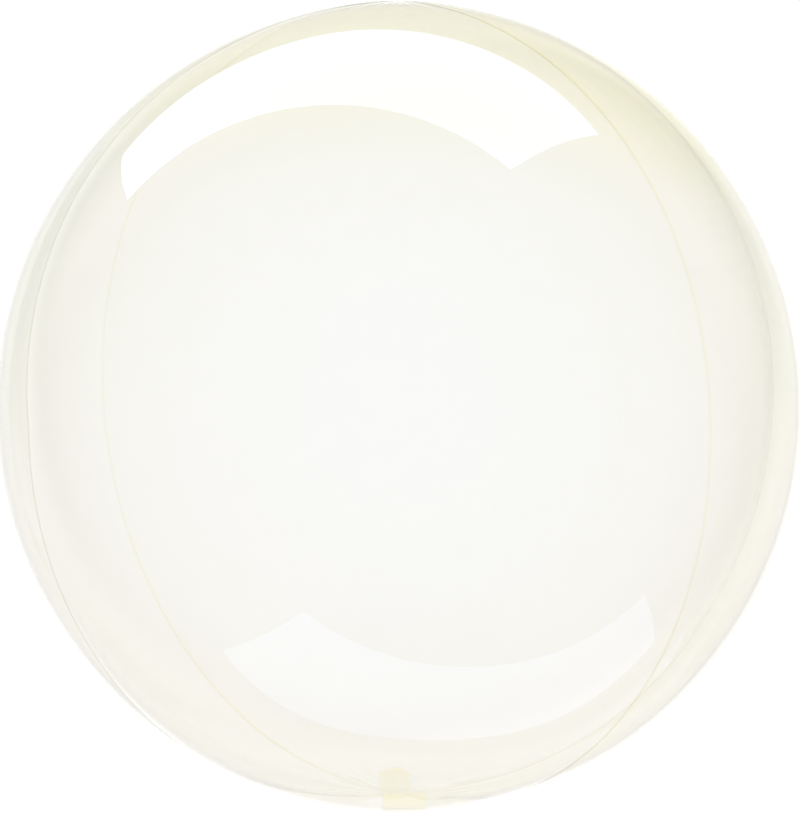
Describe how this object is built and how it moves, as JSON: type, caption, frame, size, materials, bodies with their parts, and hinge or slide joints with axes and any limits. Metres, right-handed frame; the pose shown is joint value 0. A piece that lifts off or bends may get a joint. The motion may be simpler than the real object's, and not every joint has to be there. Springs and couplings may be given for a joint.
{
  "type": "bubble balloon",
  "caption": "Round clear film balloon, blown up and lying on its side, with welded seams from crown to neck and a short flat valve tail.",
  "frame": {"origin": "middle of the small flat on which the balloon lies", "axes": "+Z up from the flat, +Y along the balloon towards its crown, so the neck and its tail are at -Y, and +X to the right of a viewer who looks down with +Y upwards"},
  "size_m": [0.505, 0.5186, 0.5064],
  "materials": {
    "clear_film": "clear glossy stretch film, faintly yellow",
    "welded_film": "several film layers welded together, cloudy yellow"
  },
  "bodies": {
    "root": {"film_bubble": "clear_film", "neck_tail": "welded_film"}
  },
  "joints": []
}
